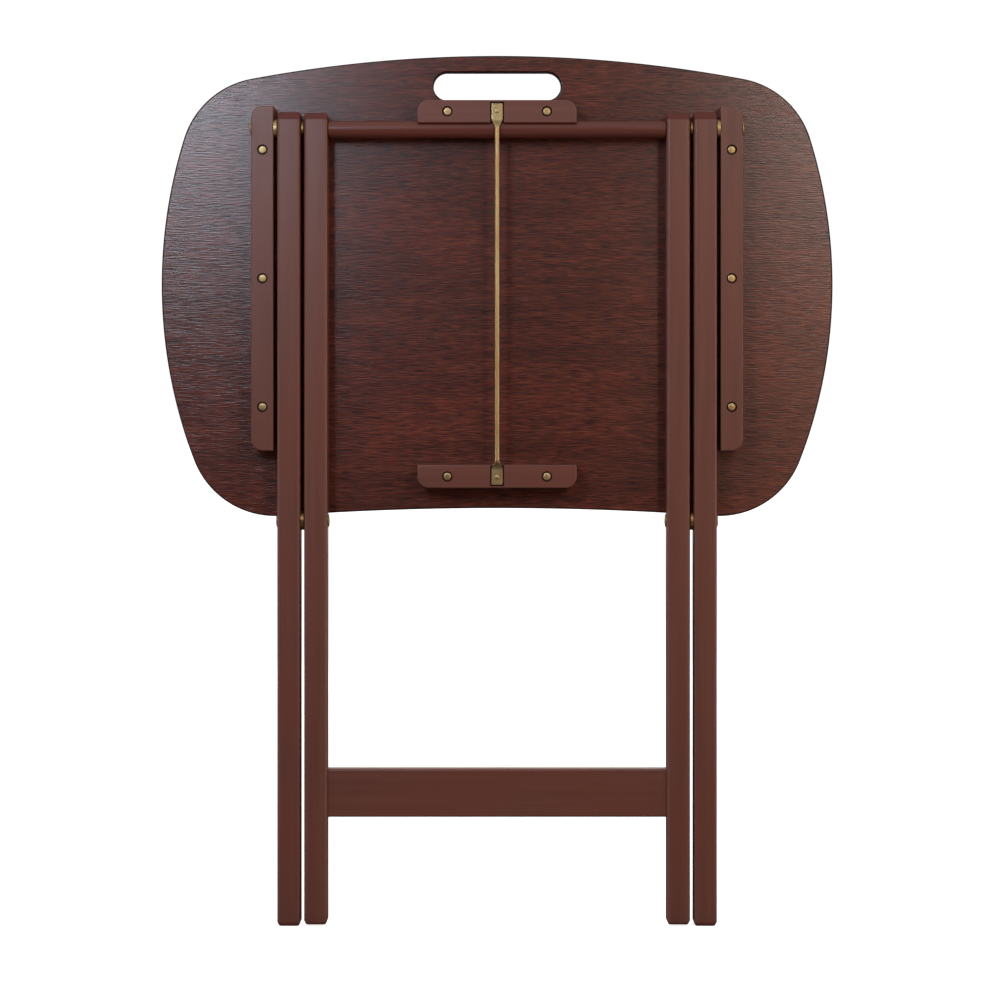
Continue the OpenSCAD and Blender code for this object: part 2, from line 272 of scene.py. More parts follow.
def tray_outline():
    """Arch, corner, bowed side, corner and hollow, each tangent to the next, and the same mirrored."""
    top, half_w = board_high.z, board_high.x
    arch_r, side_r, corner_r, hollow_r = 1.150, 0.424, 0.075, 2.600
    bow_drop, tray_h = 0.198, 0.391
    arch_c = (0, top - arch_r)
    side_c = (half_w - side_r, top - bow_drop)
    hollow_c = (0, top - tray_h - hollow_r)
    upper_c = meet(arch_c, arch_r - corner_r, side_c, side_r - corner_r)
    lower_c = meet(hollow_c, hollow_r + corner_r, side_c, side_r - corner_r)
    right = [(0, top)]
    right += arc(arch_c, arch_r, 90, bearing(arch_c, upper_c), 40)
    right += arc(upper_c, corner_r, bearing(arch_c, upper_c), bearing(side_c, upper_c), 36)
    right += arc(side_c, side_r, bearing(side_c, upper_c), 0, 26)
    right += arc(side_c, side_r, 0, bearing(side_c, lower_c), 26)
    right += arc(lower_c, corner_r, bearing(side_c, lower_c), bearing(lower_c, hollow_c), 40)
    right += arc(hollow_c, hollow_r, bearing(hollow_c, lower_c), 90, 24)
    clockwise = right + [(-x, z) for x, z in reversed(right[1:-1])]
    return list(reversed(clockwise))


def slot_outline(centre_z, width, height):
    """The handle slot: a straight-sided opening with round ends, clockwise."""
    r = height / 2
    reach = width / 2 - r
    loop = [(-reach, centre_z + r), (reach, centre_z + r)]
    loop += arc((reach, centre_z), r, 90, -90, 28)
    loop += [(-reach, centre_z - r)]
    loop += arc((-reach, centre_z), r, -90, -270, 28)[:-1]
    return spread(loop, 4 * MM)


def spread(loop, longest):
    """The loop with its long straight stretches cut up, so that no step is longer than longest."""
    points = []
    for i, here in enumerate(loop):
        after = loop[(i + 1) % len(loop)]
        count = max(1, math.ceil(math.dist(here, after) / longest))
        points += [(here[0] + (after[0] - here[0]) * k / count,
                    here[1] + (after[1] - here[1]) * k / count) for k in range(count)]
    return points


def cleat_outline(low, high, corner_r, round_towards):
    """A cleat's outline, anticlockwise, with its two corners towards round_towards rounded."""
    corners = [(low[0], low[1]), (high[0], low[1]), (high[0], high[1]), (low[0], high[1])]
    loop = []
    for i, (x, z) in enumerate(corners):
        side = {"+x": x == high[0], "-x": x == low[0], "+z": z == high[1], "-z": z == low[1]}
        if not side[round_towards]:
            loop.append((x, z))
            continue
        centre = (x + (corner_r if x == low[0] else -corner_r),
                  z + (corner_r if z == low[1] else -corner_r))
        start = 180 + 90 * i
        loop.append((centre[0] + corner_r * math.cos(math.radians(start)),
                     centre[1] + corner_r * math.sin(math.radians(start))))
        loop += arc(centre, corner_r, start, start + 90, 14)
    return spread(loop, 30 * MM)


# ---- node-based materials ----

class Nodes:
    """A short way to write a material's node tree."""

    def __init__(self, name):
        self.material = bpy.data.materials.new(name)
        self.material.use_nodes = True
        self.tree = self.material.node_tree
        self.tree.nodes.clear()
        self.shader = self.add("ShaderNodeBsdfPrincipled")
        out = self.add("ShaderNodeOutputMaterial")
        self.tree.links.new(self.shader.outputs[0], out.inputs["Surface"])
        self.place = self.add("ShaderNodeTexCoord").outputs["Object"]

    def add(self, kind, **settings):
        node = self.tree.nodes.new(kind)
        for key, value in settings.items():
            setattr(node, key, value)
        return node

    def feed(self, socket, value):
        if isinstance(value, bpy.types.NodeSocket):
            self.tree.links.new(value, socket)
        else:
            socket.default_value = value

    def set(self, **values):
        """Sets or links the shader's sockets."""
        for key, value in values.items():
            self.feed(self.shader.inputs[key.replace("_", " ")], value)

    def math(self, operation, a, b):
        node = self.add("ShaderNodeMath", operation=operation)
        self.feed(node.inputs[0], a)
        self.feed(node.inputs[1], b)
        return node.outputs[0]

    def scaled(self, scale, place=None, shift=(0, 0, 0)):
        node = self.add("ShaderNodeMapping")
        self.feed(node.inputs["Vector"], self.place if place is None else place)
        node.inputs["Scale"].default_value = scale
        node.inputs["Location"].default_value = shift
        return node.outputs[0]

    def noise(self, scale, detail=3.0, roughness=0.55, place=None, shift=(0, 0, 0)):
        """Noise whose grain is 1/scale metres long on each axis."""
        node = self.add("ShaderNodeTexNoise")
        self.feed(node.inputs["Vector"], self.scaled(scale, place, shift))
        node.inputs["Scale"].default_value = 1.0
        node.inputs["Detail"].default_value = detail
        node.inputs["Roughness"].default_value = roughness
        return node.outputs["Fac"]

    def remap(self, value, low, high, to_low=0.0, to_high=1.0):
        node = self.add("ShaderNodeMapRange", clamp=True)
        for key, entry in (("Value", value), ("From Min", low), ("From Max", high),
                           ("To Min", to_low), ("To Max", to_high)):
            self.feed(node.inputs[key], entry)
        return node.outputs[0]

    def mix(self, share, a, b, blend="MIX"):
        node = self.add("ShaderNodeMix", data_type="RGBA", blend_type=blend)
        self.feed(node.inputs["Factor"], share)
        self.feed(node.inputs[6], a)
        self.feed(node.inputs[7], b)
        return node.outputs[2]

    def ramp(self, value, stops):
        node = self.add("ShaderNodeValToRGB")
        self.feed(node.inputs["Fac"], value)
        elements = node.color_ramp.elements
        while len(elements) < len(stops):
            elements.new(0.5)
        for element, (at, colour) in zip(elements, stops):
            element.position = at
            element.color = colour
        return node.outputs["Color"]

    def bump(self, height, distance, strength=1.0):
        """A relief as deep as distance where height goes from 0 to 1, fainter with less strength."""
        node = self.add("ShaderNodeBump")
        node.inputs["Strength"].default_value = strength
        node.inputs["Distance"].default_value = distance
        self.feed(node.inputs["Height"], height)
        return node.outputs["Normal"]

    def grey(self, value):
        """A grey whose three channels are the value."""
        node = self.add("ShaderNodeCombineColor")
        for socket in node.inputs[:3]:
            self.feed(socket, value)
        return node.outputs[0]

    def axis(self, index):
        """The place's X, Y or Z, for index 0, 1 or 2."""
        node = self.add("ShaderNodeSeparateXYZ")
        self.feed(node.inputs[0], self.place)
        return node.outputs[index]


VENEER_GLOSS = 0.27  # roughness of the veneer's lacquer
WOOD_GLOSS = 0.36  # roughness of the stained wood's lacquer


def rgb(red, green, blue):
    """A colour given as 0-255 display values."""
    def linear(value):
        value /= 255
        return value / 12.92 if value <= 0.04045 else ((value + 0.055) / 1.055) ** 2.4
    return (linear(red), linear(green), linear(blue), 1.0)


def walnut_veneer():
    """Dark walnut veneer with its grain along X: fine dark pores, streaks, faint figure and slow changes
    of hue, under a coat of lacquer that follows the pores."""
    n = Nodes("walnut_veneer")
    sway_by, pore_deep, pore_rough = 6 * MM, 0.17 * MM, 0.14
    sway = n.noise((6, 5, 14), detail=2.0)
    lift = n.math("MULTIPLY", n.math("SUBTRACT", sway, 0.5), sway_by)
    wavy = n.add("ShaderNodeCombineXYZ")
    n.feed(wavy.inputs[0], n.axis(0))
    n.feed(wavy.inputs[1], n.axis(1))
    n.feed(wavy.inputs[2], n.math("ADD", n.axis(2), lift))
    wavy = wavy.outputs[0]
    figure = n.noise((7, 90, 130), detail=3.0, place=wavy)
    streaks = n.noise((70, 500, 900), detail=2.0, roughness=0.6, place=wavy, shift=(3, 1, 7))
    pores = n.noise((80, 900, 1200), detail=1.0, roughness=0.5, place=wavy, shift=(9, 4, 2))
    hue = n.noise((7, 8, 12), detail=3.0, shift=(5, 2, 1))
    dark = n.remap(n.noise((9, 9, 30), detail=2.0, shift=(4, 4, 9)), 0.36, 0.56, 0.84, 1.0)
    grain = n.math("ADD", n.math("MULTIPLY", figure, 0.35), n.math("MULTIPLY", streaks, 0.65))
    base = n.ramp(grain, [(0.36, rgb(70, 28, 20)), (0.50, rgb(89, 38, 27)), (0.64, rgb(108, 50, 36))])
    cooler = n.mix(1.0, base, rgb(232, 246, 250), blend="MULTIPLY")
    base = n.mix(n.remap(hue, 0.42, 0.62), base, cooler)
    pore_dark = n.remap(pores, 0.36, 0.50, 0.38, 1.08)
    line_light = n.remap(streaks, 0.50, 0.70, 1.0, 1.20)
    tone = n.math("MULTIPLY", n.math("MULTIPLY", pore_dark, line_light), dark)
    colour = n.mix(1.0, base, n.grey(tone), blend="MULTIPLY")
    relief = n.bump(pores, pore_deep)
    rough = n.remap(pores, 0.36, 0.52, VENEER_GLOSS + pore_rough, VENEER_GLOSS)
    n.set(Base_Color=colour, Roughness=rough, Specular_IOR_Level=0.15, Normal=relief,
          Coat_Weight=1.0, Coat_Roughness=VENEER_GLOSS, Coat_Normal=relief)
    return n.material


def board_lip_rim_shade():
    """The tray's solid lip, stained darker than the veneer and made darker still as painted shade along its
    rounded rims.
    """
    n = Nodes("board_lip_rim_shade")
    grain = n.noise((60, 700, 240), detail=3.0)
    n.set(Base_Color=n.mix(grain, rgb(20, 8, 6), rgb(40, 18, 13)),
          Roughness=n.remap(grain, 0.3, 0.7, 0.8, 0.65), Specular_IOR_Level=0.12,
          Normal=n.bump(grain, 0.1 * MM, 0.4))
    return n.material


def recess_shade_wood():
    """The cut walls of counterbores, grooves and holes, painted dark as the shade that falls in them."""
    n = Nodes("recess_shade_wood")
    grain = n.noise((300, 300, 300), detail=3.0)
    n.set(Base_Color=n.mix(grain, rgb(38, 18, 13), rgb(66, 35, 27)),
          Roughness=n.remap(grain, 0.3, 0.7, 0.8, 0.65), Specular_IOR_Level=0.2,
          Normal=n.bump(grain, 0.08 * MM, 0.4))
    return n.material


def stained_wood(name, along, shades, gloss=WOOD_GLOSS, stained_and_shaded_ends=None):
    """Dark stained hardwood with its grain along one axis. Its three shades mix in bands along the grain
    and in wide patches. The last argument is (axis, low, high, reach): within reach of the top, and within
    half of it of the foot, the colour is darker and redder and the lacquer rougher; this is partly end
    grain taking more stain and less lacquer, and partly painted shade on the rounded top and the bevelled
    foot."""
    n = Nodes(name)
    fine = [900, 900, 900]
    slow = [160, 160, 160]
    fine[along], slow[along] = 26, 5
    pores = n.noise(fine, detail=3.0, roughness=0.65)
    bands = n.noise(slow, detail=2.0, shift=(2, 6, 4))
    wide = n.noise((9, 9, 9), detail=1.0, shift=(8, 3, 5))
    base = n.mix(n.remap(bands, 0.36, 0.64), shades[0], shades[1])
    base = n.mix(n.remap(wide, 0.35, 0.65, 0.0, 0.55), base, shades[2])
    shade = n.remap(pores, 0.34, 0.55, 0.93, 1.0)
    rough = n.remap(pores, 0.3, 0.6, gloss + 0.06, gloss)
    if stained_and_shaded_ends:
        axis, low, high, reach = stained_and_shaded_ends
        height = n.axis(axis)
        top = n.remap(height, high - reach, high - reach * 0.93, 0.0, 1.0)
        foot = n.remap(height, low + reach * 0.4, low + reach * 0.5, 1.0, 0.0)
        ends = n.math("MAXIMUM", top, foot)
        # darker, redder colour at the ends: the end grain's extra stain, and painted shade on the rounded
        # top and the foot's bevel
        base = n.mix(ends, base, rgb(88, 36, 27))
        rough = n.math("MAXIMUM", rough, n.math("MULTIPLY", ends, 0.75))
    n.set(Base_Color=n.mix(1.0, base, n.grey(shade), blend="MULTIPLY"), Roughness=rough,
          Specular_IOR_Level=0.42, Normal=n.bump(pores, 0.02 * MM, 0.4))
    return n.material


def brass(name, bright, dull, roughness):
    """Antique brass: brighter where it is rubbed, olive where it has tarnished."""
    n = Nodes(name)
    tarnish = n.noise((90, 90, 30), detail=1.0, roughness=0.5)
    scratch = n.noise((1500, 1500, 160), detail=2.0, shift=(1, 2, 3))
    n.set(Base_Color=n.mix(n.remap(tarnish, 0.30, 0.75), bright, dull), Metallic=1.0,
          Roughness=n.remap(scratch, 0.3, 0.7, roughness - 0.04, roughness + 0.06),
          Normal=n.bump(scratch, 0.002 * MM, 0.3))
    return n.material


def plain_wood():
    """Unfinished beech, for the joinery dowels inside."""
    n = Nodes("plain_wood")
    flecks = n.noise((40, 900, 900), detail=3.0)
    n.set(Base_Color=n.mix(flecks, rgb(196, 160, 112), rgb(222, 190, 146)), Roughness=0.65,
          Normal=n.bump(flecks, 0.08 * MM, 0.4))
    return n.material


leg_low, leg_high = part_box("outer_leg_left")
WALNUT = walnut_veneer()
# the darker lip, with painted shade along the tray's rims
LIP_AND_RIM_SHADE = board_lip_rim_shade()
STAIN = (rgb(98, 57, 47), rgb(107, 64, 53), rgb(109, 59, 46))
RED_STAIN = (rgb(88, 42, 32), rgb(94, 45, 34), rgb(98, 46, 33))
# the legs' tops and feet darker: end grain stain and painted shade
LEG_WOOD = stained_wood("leg_wood", 2, STAIN, stained_and_shaded_ends=(2, leg_low.z, leg_high.z, 7.2 * MM))
CLEAT_WOOD = stained_wood("cleat_wood", 2, STAIN)
CROSS_WOOD = stained_wood("cross_wood", 0, STAIN)
BAR_WOOD = stained_wood("bar_wood", 0, RED_STAIN, gloss=0.30)
# a dark material that paints the shade inside every cut
RECESS_SHADE = recess_shade_wood()
BRASS = brass("antique_brass", rgb(192, 166, 122), rgb(158, 132, 88), 0.42)
DULL_BRASS = brass("dull_brass", rgb(168, 134, 88), rgb(112, 84, 50), 0.40)
BRIGHT_BRASS = brass("rubbed_brass", rgb(178, 155, 112), rgb(160, 134, 90), 0.42)
PLAIN_WOOD = plain_wood()


def finish(piece, material, slot, body, *nodes):
    """Gives a piece its finish and its body, and lets it stand for its CAD nodes."""
    if not piece.data.materials:
        piece.data.materials.append(material)
    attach(piece, body)
    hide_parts(*nodes)


# ---- tray ----

# the middle of every screw, by node
SCREWS = {name: middle_of(name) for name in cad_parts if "_screw_" in name}
VENEER_FLAT = 0.985  # a face whose normal is nearer to Y than this is veneer, and any other is solid lip, whose dark colour is partly painted shade along the rim


def make_tray():
    slot_w, slot_h, slot_drop = 110 * MM, 24 * MM, 26.5 * MM
    under_r, top_r = 1.6 * MM, 2.5 * MM
    board = plate("tray", [tray_outline(), slot_outline(board_high.z - slot_drop, slot_w, slot_h)],
                  UNDER, board_high.y, under_r, top_r)
    pilot_deep = SCREW_BITE + HOLE_ROOM
    cut(board, [rod_cutter((at.x, UNDER - MM, at.z), (0, 1, 0), pilot_deep + MM, SHANK_R + HOLE_ROOM, 16)
                for at in SCREWS.values()])
    smooth(board)
    board.data.materials.append(WALNUT)
    board.data.materials.append(LIP_AND_RIM_SHADE)
    for face in board.data.polygons:
        face.material_index = 0 if abs(face.normal.y) > VENEER_FLAT else 1
    finish(board, WALNUT, "walnut_board", "tray", "tray_board")


def screw_holes(screws, face_y):
    """Cutters for the counterbores and clearance holes of these screws, from a cleat's face at y=face_y.
    They start 1 mm in front of it and go out at its back."""
    seat, past = COUNTERBORE_DEEP + MM, 30 * MM
    profile = [(0, 0), (0, COUNTERBORE_R), (seat, COUNTERBORE_R), (seat, SHANK_R + HOLE_ROOM),
               (past, SHANK_R + HOLE_ROOM), (past, 0)]
    places = [SCREWS[name] for name in screws]
    return [turned("cutter", (at.x, face_y - MM, at.z), (0, 1, 0), profile, 40) for at in places]


def side_cutter(node, place, radius, steps=32):
    """A cutter along X, through the whole width of the node, on the line of place."""
    low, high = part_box(node)
    return rod_cutter((low.x - MM, place.y, place.z), (1, 0, 0), high.x - low.x + 2 * MM, radius, steps)


def make_side_cleat(side, sign):
    node = f"side_cleat_{side}"
    low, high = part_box(node)
    outline = cleat_outline((low.x, low.z), (high.x, high.z), CLEAT_CORNER_R, "+x" if sign > 0 else "-x")
    cleat = plate(f"side_cleat_wood_{side}", [outline], low.y, high.y, CLEAT_FRONT_R, CLEAT_BACK_R)
    cutters = screw_holes([n for n in SCREWS if n.startswith(f"side_cleat_screw_{side}")], low.y)
    cutters.append(side_cutter(node, PIVOT_LINE, BOLT_HOLE_R))
    smooth(cut(cleat, cutters, CLEAT_WOOD, RECESS_SHADE))
    finish(cleat, CLEAT_WOOD, "stained_wood", "tray", node)


def make_centre_cleat(which, up):
    """up is 1 where the rounded corners and the groove's closed end are upwards."""
    node = f"{which}_centre_cleat"
    low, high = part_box(node)
    outline = cleat_outline((low.x, low.z), (high.x, high.z), CLEAT_CORNER_R, "+z" if up > 0 else "-z")
    cleat = plate(f"{which}_cleat_wood", [outline], low.y, high.y, CLEAT_FRONT_R, CLEAT_BACK_R)
    cutters = screw_holes([n for n in SCREWS if n.startswith(f"{which}_cleat_screw")], low.y)
    groove_w, groove_deep, groove_end = 11.8 * MM, 3.2 * MM, 1.6 * MM
    bottom, top = (low.z - MM, high.z - groove_end) if up > 0 else (low.z + groove_end, high.z + MM)
    cutters.append(box_cutter((-groove_w / 2, low.y - MM, bottom),
                              (groove_w / 2, low.y + groove_deep, top)))
    nail, nail_hole = middle_of(f"guide_rod_nail_{which}"), 14.5 * MM
    cutters.append(rod_cutter((nail.x, low.y, nail.z), (0, 1, 0), nail_hole, NAIL_R + HOLE_ROOM, 16))
    if up > 0:  # a cove that the folded crossbar lies in
        cove_r = size_of("top_crossbar").z / 2 + 0.6 * MM
        cutters.append(side_cutter(node, BAR_LINE, cove_r, 64))
    smooth(cut(cleat, cutters, CROSS_WOOD, RECESS_SHADE))
    finish(cleat, CROSS_WOOD, "stained_wood", "tray", node)


# ---- legs ----

def rounded_section(half_w, half_d, r, steps=5):
    """Points of a rounded rectangle about the origin, in width and depth."""
    points = []
    for corner, (sx, sy) in enumerate(((1, 1), (-1, 1), (-1, -1), (1, -1))):
        for i in range(steps + 1):
            angle = math.pi / 2 * (corner + i / steps)
            points.append((sx * (half_w - r) + r * math.cos(angle),
                           sy * (half_d - r) + r * math.sin(angle)))
    return points


def leg_rings(node):
    """Rings up a leg, from its bevelled foot to its rounded top."""
    top_r, side_r, bevel_h, bevel_in = 6.5 * MM, 3 * MM, 3.2 * MM, 1.4 * MM
    low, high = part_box(node)
    middle, half = (low + high) / 2, (high - low) / 2

    def ring(z, in_w, in_d):
        r = max(0.5 * MM, side_r - max(in_w, in_d) * 0.35)
        section = rounded_section(half.x - in_w, half.y - in_d, r)
        return [(middle.x + u, middle.y + v, z) for u, v in section]

    foot_soft = 0.4 * MM
    rings = [ring(low.z, bevel_in + foot_soft, bevel_in + foot_soft),
             ring(low.z + foot_soft, bevel_in, bevel_in),
             ring(low.z + bevel_h, 0, 0)]
    rings += [ring(low.z + (high.z - top_r - low.z) * share, 0, 0) for share in (0.02, 0.25, 0.5, 0.75)]
    steps = 10
    for i in range(steps + 1):
        angle = math.radians(88) * i / steps
        rise = top_r * math.sin(angle)
        in_d = top_r * (1 - math.cos(angle))
        left = top_r - rise
        in_w = side_r - math.sqrt(max(0, side_r ** 2 - (side_r - left) ** 2)) if left < side_r else 0
        rings.append(ring(high.z - left, in_w * 0.9, in_d))
    rings.append(ring(high.z, side_r * 0.95, top_r))
    return rings


def make_leg(kind, side, body, bores, sockets):
    """bores are (z, radius) and go through. sockets are (z, radius, depth) and open towards the middle."""
    node = f"{kind}_leg_{side}"
    leg = loft(f"{kind}_leg_wood_{side}", leg_rings(node))
    low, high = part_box(node)
    cutters = [side_cutter(node, Vector((0, PIVOT_LINE.y, z)), radius) for z, radius in bores]
    for z, radius, depth in sockets:
        length = depth + MM
        start = low.x - MM if side == "right" else high.x + MM - length
        cutters.append(rod_cutter((start, PIVOT_LINE.y, z), (1, 0, 0), length, radius))
    smooth(cut(leg, cutters, LEG_WOOD, RECESS_SHADE))
    finish(leg, LEG_WOOD, "stained_wood", body, node)


# ---- crossbar and stretcher ----

def make_crossbar():
    low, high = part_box("top_crossbar")
    half, r = (high.x - low.x) / 2, (high.z - low.z) / 2
    shoulder, soft = half - TENON_L, 0.6 * MM
    end = [(-half, 0), (-half, TENON_R - soft), (-half + soft, TENON_R), (-shoulder, TENON_R),
           (-shoulder, r - soft), (-shoulder + soft, r)]
    between = [(-shoulder + soft + (2 * shoulder - 2 * soft) * i / 12, r) for i in range(1, 12)]
    profile = end + between + [(-x, radius) for x, radius in reversed(end)]
    bar = smooth(turned("crossbar_wood", (0, BAR_LINE.y, BAR_LINE.z), (1, 0, 0), profile, 64))
    finish(bar, BAR_WOOD, "stained_wood", "crossbar", "top_crossbar")


def make_stretcher():
    low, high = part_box("lower_stretcher")
    middle, half = (low + high) / 2, (high - low) / 2
    section = rounded_section(half.y, half.z, 2 * MM, 6)
    xs = [low.x + (high.x - low.x) * i / 16 for i in range(17)]
    rings = [[(x, middle.y + u, middle.z + v) for u, v in section] for x in xs]
    stretcher = loft("stretcher_wood", rings)
    cutters = []
    for side, sign in SIDES.items():
        for i in (1, 2):
            dowel = middle_of(f"stretcher_dowel_{side}_{i}")
            start = low.x - MM if sign < 0 else high.x - DOWEL_BITE
            cutters.append(rod_cutter((start, dowel.y, dowel.z), (1, 0, 0), DOWEL_BITE + MM,
                                      DOWEL_R + HOLE_ROOM))
    smooth(cut(stretcher, cutters))
    finish(stretcher, CROSS_WOOD, "stained_wood", "inner_frame", "lower_stretcher")


# ---- guide rod ----

def make_guide_rod():
    """A round rod whose ends are forged flat and let into the centre cleats."""
    low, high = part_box("guide_rod")
    centre_x = (low.x + high.x) / 2
    paddle_w, paddle_t, paddle_l, neck_l, r = 9.6 * MM, 1.6 * MM, 13 * MM, 8.5 * MM, 2 * MM
    rod_y, paddle_y = low.y + r, high.y - paddle_t / 2
    steps = 40

    def section(z, half_w, half_t, y, square):
        """A ring between a round bar, square 0, and a flat strip, square 1."""
        points = []
        power = 2 / (2 + 7 * square)
        for i in range(steps):
            t = 2 * math.pi * (i + 0.5) / steps
            c, s = math.cos(t), math.sin(t)
            points.append((centre_x + half_w * math.copysign(abs(c) ** power, c),
                           y + half_t * math.copysign(abs(s) ** power, s), z))
        return points

    def end_rings():
        """(distance from the rod's end, half width, half thickness, y, squareness)."""
        rings = [(0, paddle_w / 2 - 1.0 * MM, paddle_t / 2 - 0.3 * MM, paddle_y, 1),
                 (0.3 * MM, paddle_w / 2 - 0.4 * MM, paddle_t / 2, paddle_y, 1),
                 (1.0 * MM, paddle_w / 2, paddle_t / 2, paddle_y, 1),
                 (paddle_l * 0.5, paddle_w / 2, paddle_t / 2, paddle_y, 1),
                 (paddle_l, paddle_w / 2, paddle_t / 2, paddle_y, 1)]
        for i in range(1, 13):
            t = i / 12
            s = t * t * (3 - 2 * t)  # eased, so that the neck flows into both
            rings.append((paddle_l + neck_l * t, paddle_w / 2 + (r - paddle_w / 2) * s,
                          paddle_t / 2 + (r - paddle_t / 2) * s, paddle_y + (rod_y - paddle_y) * s,
                          1 - s))
        return rings

    lower = [section(low.z + along, *shape) for along, *shape in end_rings()]
    upper = [section(high.z - along, *shape) for along, *shape in reversed(end_rings())]
    span = high.z - low.z - 2 * (paddle_l + neck_l)
    between = [section(low.z + paddle_l + neck_l + span * i / 10, r, r, rod_y, 0) for i in range(1, 10)]
    rod = loft("guide_rod_brass", lower + between + upper)
    nails = [middle_of(f"guide_rod_nail_{which}") for which in ("upper", "lower")]
    cut(rod, [rod_cutter((at.x, paddle_y - 2 * MM, at.z), (0, 1, 0), 4 * MM, NAIL_R + HOLE_ROOM, 16)
              for at in nails])
    finish(smooth(rod), BRIGHT_BRASS, "antique_brass", "tray", "guide_rod")


def make_nail(which):
    node = f"guide_rod_nail_{which}"
    low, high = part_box(node)
    at = (low + high) / 2
    length = high.y - low.y
    head_r, head_h, point = 2.2 * MM, 0.6 * MM, 2 * MM
    angles = [math.pi / 2 * i / 8 for i in range(9)]
    crown = [(head_h * (1 - math.cos(a)), head_r * math.sin(a)) for a in angles]
    profile = crown + [(head_h, NAIL_R), (length - point, NAIL_R), (length, 0)]
    nail = smooth(turned(f"nail_{which}", (at.x, low.y, at.z), (0, 1, 0), profile, 28))
    finish(nail, BRIGHT_BRASS, "antique_brass", "tray", node)


# ---- screws ----

def make_screw(node):
    """A flat-headed screw with a cross in its head and a cut thread on its shank."""
    low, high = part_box(node)
    at = (low + high) / 2
    head_r, head_t, crown = 3.3 * MM, 1.6 * MM, 0.25 * MM
    plain, point = 5 * MM, 3 * MM  # the lengths of the shank without a thread, and of the point
    core_r, pitch = 1.25 * MM, 1.5 * MM
    length, threads_from = high.y - low.y, head_t + plain + MM
    around, per_turn = 16, 4
    bm = bmesh.new()
    rings = []
    for share in (0.35, 0.7, 0.88):  # a low crown, then a softened rim
        rings.append((crown * share * share, head_r * share, 0))
    rings += [(crown + 0.25 * MM, head_r, 0), (head_t - 0.2 * MM, head_r, 0),
              (head_t, head_r - 0.3 * MM, 0), (head_t, SHANK_R, 0), (head_t + plain, SHANK_R, 0)]
    rows = round((length - threads_from) / pitch * per_turn)
    for i in range(1, rows + 1):
        rings.append((threads_from + (length - threads_from) * i / rows, core_r, 1))
    made = []
    for along, radius, threaded in rings:
        taper = min(1, (length - along) / point + 0.12)
        ring = []
        for k in range(around):
            turn = k / around
            r = radius
            if threaded:
                phase = (along / pitch - turn) % 1
                r = (core_r + (SHANK_R - core_r) * max(0, 1 - abs(phase - 0.5) * 4)) * taper
            a = 2 * math.pi * turn
            ring.append((r * math.cos(a), along, r * math.sin(a)))
        made.append(add_ring(bm, ring))
    for a, b in zip(made, made[1:]):
        join_rings(bm, a, b)
    bm.faces.new(made[0])
    bm.faces.new(list(reversed(made[-1])))
    screw = new_object(f"fixing_{node}", bm)
    half_l, half_w, deep = 1.3 * MM, 0.28 * MM, 0.7 * MM
    cut(screw, [box_cutter((-half_l, -MM, -half_w), (half_l, deep, half_w)),
                box_cutter((-half_w, -MM, -half_l), (half_w, deep, half_l))])
    smooth(screw)
    screw.data.transform(Matrix.Translation((at.x, low.y, at.z)))
    finish(screw, BRASS, "antique_brass", "tray", node)


# ---- pivots ----

def dome(start, radius, rim, height, steps=8):
    """Profile of a low dome that rises from start towards the tip, ending on the axis."""
    profile = [(start, radius - 0.15 * MM), (start + 0.15 * MM, radius), (start + rim, radius)]
    for i in range(1, steps + 1):
        a = math.pi / 2 * i / steps
        profile.append((start + rim + (height - rim) * math.sin(a), radius * math.cos(a)))
    profile[-1] = (start + height, 0)
    return profile


def make_bolt(node, body, outward, material):
    """A pivot bolt whose domed head is at the end that outward points to, 1 for +X."""
    low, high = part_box(node)
    length = high.x - low.x
    head_h = 1.5 * MM
    head_r = (high.z - low.z) / 2
    origin = (low.x if outward > 0 else high.x, PIVOT_LINE.y, (low.z + high.z) / 2)
    profile = [(0, 0), (0, BOLT_R - 0.3 * MM), (0.3 * MM, BOLT_R), (length - head_h, BOLT_R)]
    profile += dome(length - head_h, head_r, 0.5 * MM, head_h)
    bolt = smooth(turned(f"turned_{node}", origin, (outward, 0, 0), profile, 48))
    finish(bolt, material, "antique_brass", body, node)


def make_ring(node, body, material):
    """A washer or spacer with softened rims, on a pivot bolt."""
    low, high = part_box(node)
    length, r, soft = high.x - low.x, (high.z - low.z) / 2, 0.35 * MM
    profile = [(0, BOLT_HOLE_R), (0, r - soft), (soft * 0.3, r - soft * 0.3), (soft, r),
               (length - soft, r), (length - soft * 0.3, r - soft * 0.3), (length, r - soft),
               (length, BOLT_HOLE_R), (0, BOLT_HOLE_R)]
    ring = turned(f"turned_{node}", (low.x, PIVOT_LINE.y, (low.z + high.z) / 2), (1, 0, 0), profile, 56)
    finish(smooth(ring), material, "antique_brass", body, node)


# ---- everything on its body ----

make_tray()
for side, sign in SIDES.items():
    make_side_cleat(side, sign)
make_centre_cleat("upper", 1)
make_centre_cleat("lower", -1)
make_guide_rod()
for which in ("upper", "lower"):
    make_nail(which)
for name in SCREWS:
    make_screw(name)

